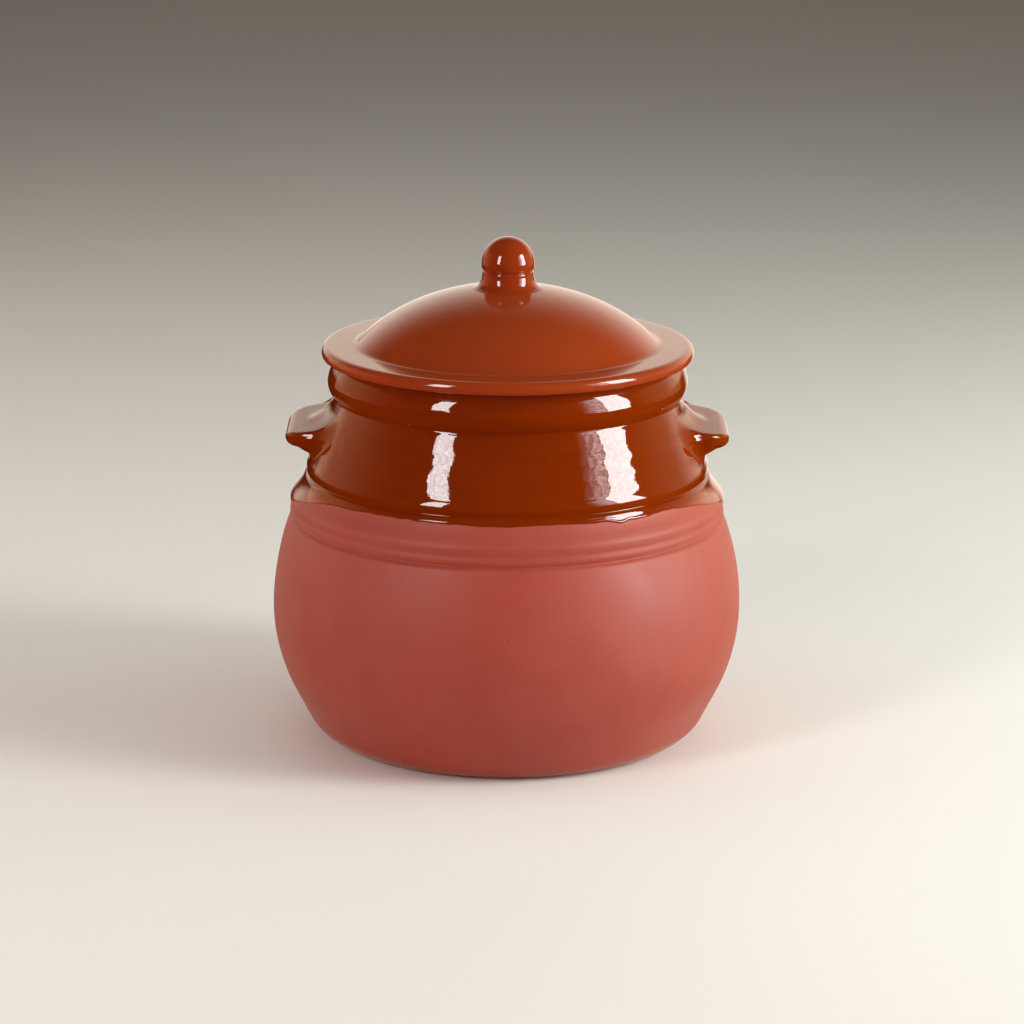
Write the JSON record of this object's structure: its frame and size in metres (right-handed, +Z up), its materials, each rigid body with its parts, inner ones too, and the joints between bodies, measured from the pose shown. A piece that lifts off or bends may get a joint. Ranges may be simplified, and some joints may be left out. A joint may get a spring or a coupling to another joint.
{
  "type": "covered stewpot",
  "caption": "Round-bellied terracotta stewpot with a glazed neck, stub lugs and a lift-off domed lid with a ball knob.",
  "frame": {"origin": "centre of the base, on the surface that the pot stands on", "axes": "+Z up along the pot's axis, X through the two lugs, -Y towards the front"},
  "size_m": [0.2605, 0.2604, 0.2785],
  "materials": {
    "bare_clay": "matte unglazed terracotta, pinkish red",
    "brown_glaze": "glossy transparent honey-brown glaze over red clay",
    "lid_glaze": "glossy red-brown glaze"
  },
  "bodies": {
    "pot": {"pot_body": "bare_clay", "left_lug": "brown_glaze", "right_lug": "brown_glaze", "neck_glaze": "brown_glaze", "inner_glaze": "brown_glaze"},
    "lid": {"lid": "bare_clay", "lid_knob": "lid_glaze", "lid_glaze": "lid_glaze"}
  },
  "joints": [
    {"name": "lid_lift", "type": "slide", "parent": "pot", "child": "lid", "axis": [0, 0, 1], "range_m": [0, 0.12]}
  ]
}
